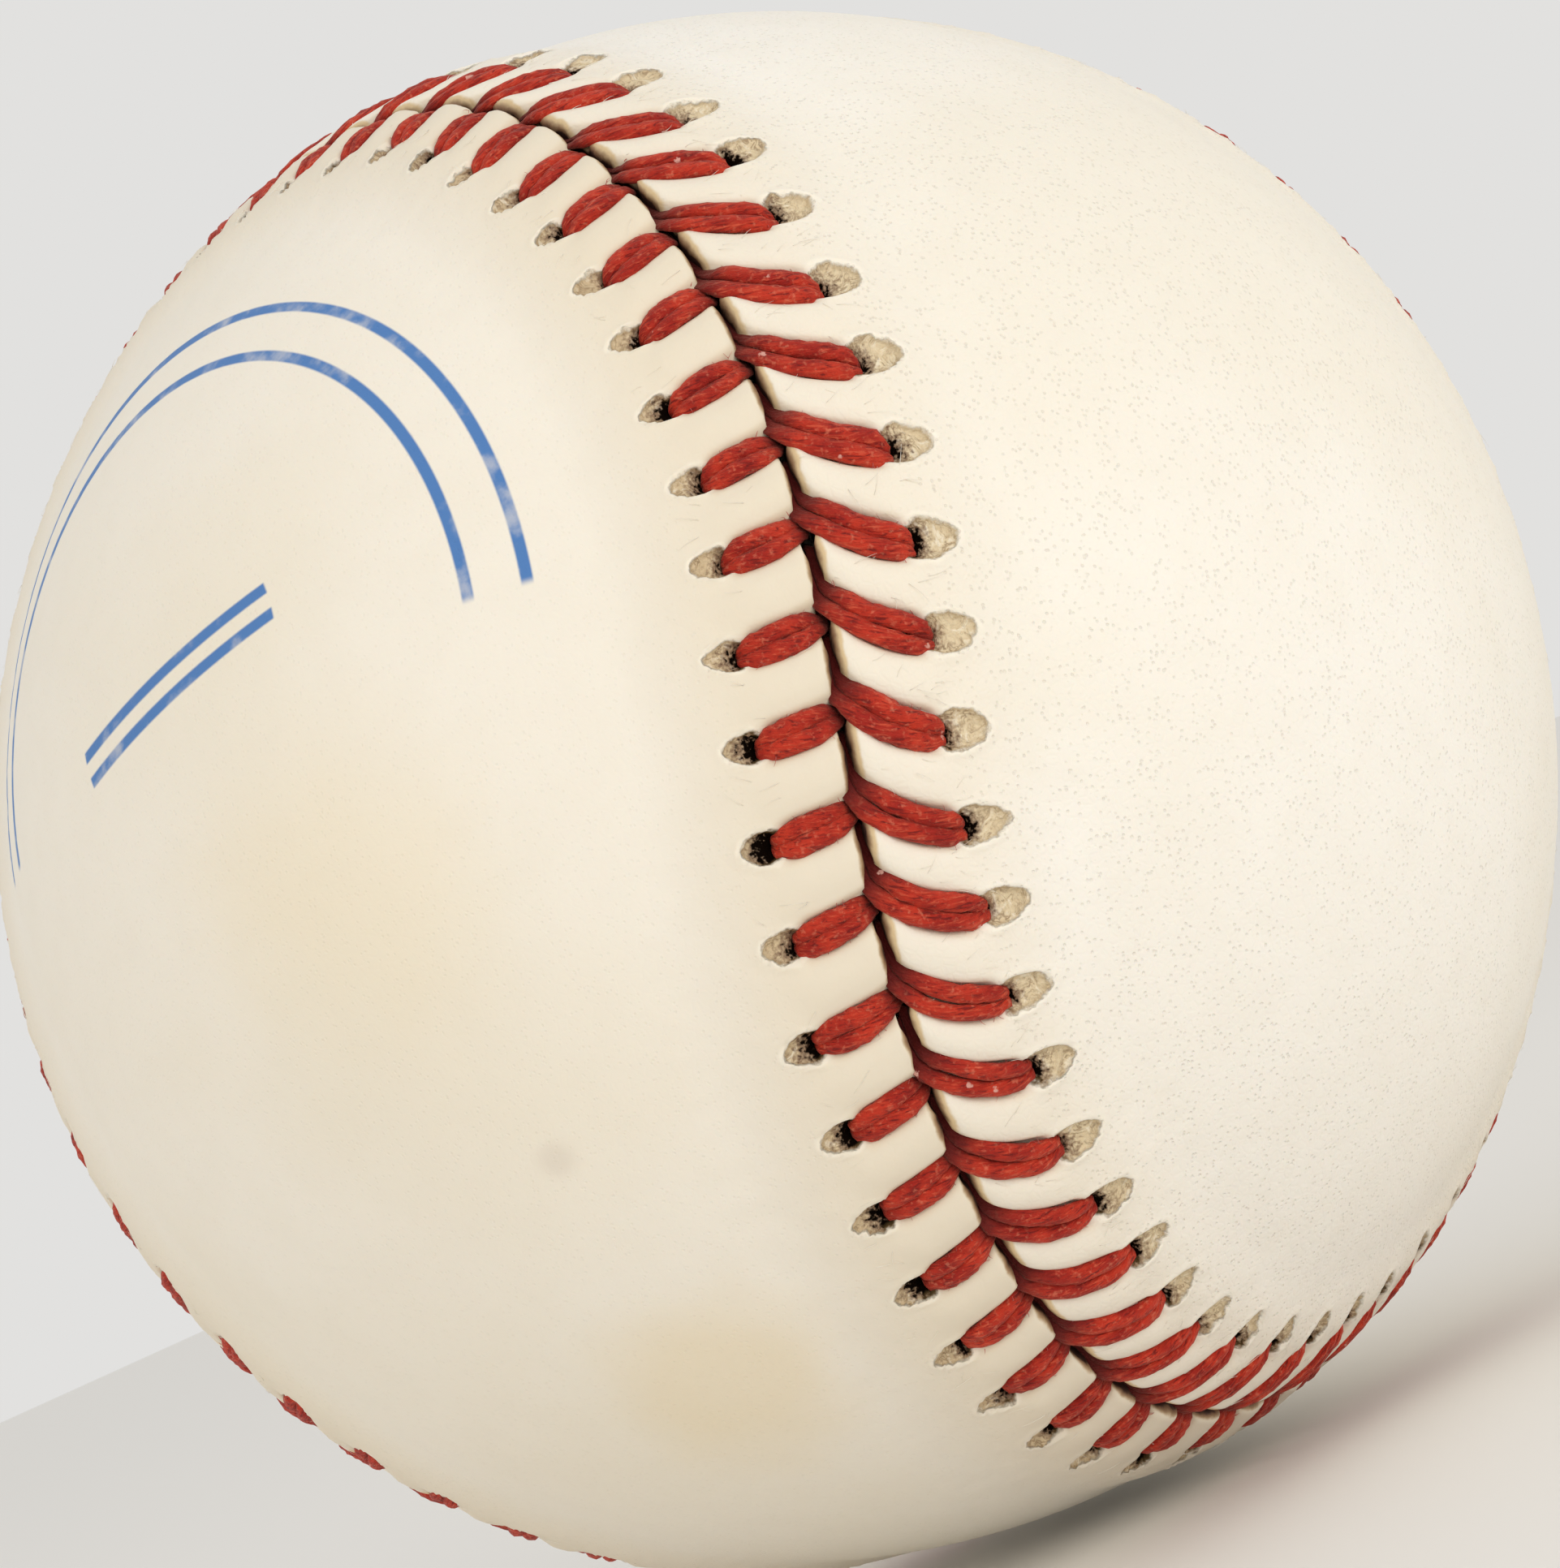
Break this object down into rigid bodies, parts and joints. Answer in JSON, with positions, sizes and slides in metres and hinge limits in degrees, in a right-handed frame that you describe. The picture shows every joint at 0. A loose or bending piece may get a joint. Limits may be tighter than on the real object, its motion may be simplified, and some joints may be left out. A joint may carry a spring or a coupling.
{
  "type": "baseball",
  "caption": "Hard ball with a cork and rubber core, wound yarn and a two-panel white leather cover laced with red waxed thread, for throwing, catching and batting.",
  "frame": {"origin": "centre of the ball", "axes": "+Z out through the narrow waist of cover_panel_a and -Z out through the waist of cover_panel_b; the seam crosses +X, +Y, -X and -Y; the ball has no up of its own"},
  "size_m": [0.0764, 0.0764, 0.0741],
  "materials": {
    "cork": "ground cork bound with rubber, matte",
    "black_rubber": "moulded, matte",
    "red_rubber": "moulded, matte",
    "grey_wool_yarn": "wound wool yarn, fuzzy",
    "white_wool_yarn": "wound wool yarn, fuzzy",
    "finishing_yarn": "fine wound polyester and cotton yarn, matte",
    "white_leather": "alum tanned, satin, fine pores",
    "red_waxed_thread": "waxed twisted thread, slight sheen"
  },
  "bodies": {
    "root": {"cork_core": "cork", "black_rubber_half_upper": "black_rubber", "black_rubber_half_lower": "black_rubber", "red_rubber_washer": "red_rubber", "red_rubber_half_upper": "red_rubber", "red_rubber_half_lower": "red_rubber", "winding_grey_four_ply": "grey_wool_yarn", "winding_white_three_ply": "white_wool_yarn", "winding_grey_three_ply": "grey_wool_yarn", "winding_finishing_yarn": "finishing_yarn", "cover_panel_a": "white_leather", "cover_panel_b": "white_leather", "seam_thread_a": "red_waxed_thread", "seam_thread_b": "red_waxed_thread"}
  },
  "joints": []
}
